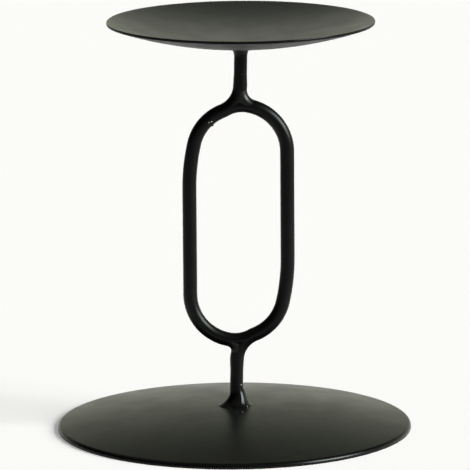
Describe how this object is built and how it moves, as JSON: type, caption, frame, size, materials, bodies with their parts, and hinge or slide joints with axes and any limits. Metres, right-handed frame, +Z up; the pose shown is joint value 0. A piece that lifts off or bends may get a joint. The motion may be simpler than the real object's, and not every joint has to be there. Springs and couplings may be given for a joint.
{
  "type": "candlestick",
  "caption": "Low candlestick with a shallow round dish on a stem of round bar that opens into a tall narrow loop over a wide domed base.",
  "frame": {"origin": "on the table, under the middle of the round base", "axes": "+Z up, the loop stands in the XZ plane, -Y is the front and +X is the right in the picture"},
  "size_m": [0.16, 0.16, 0.1861],
  "materials": {
    "sheet_paint": "satin black paint on pressed steel sheet",
    "bar_paint": "satin black paint on bent round bar",
    "weld_paint": "satin black paint over weld, slightly rougher"
  },
  "bodies": {
    "root": {"base_plate": "sheet_paint", "lower_bar": "bar_paint", "upper_bar": "bar_paint", "dish": "sheet_paint", "base_weld": "weld_paint", "dish_weld": "weld_paint", "lower_joint_weld": "weld_paint", "upper_joint_weld": "weld_paint"}
  },
  "joints": []
}
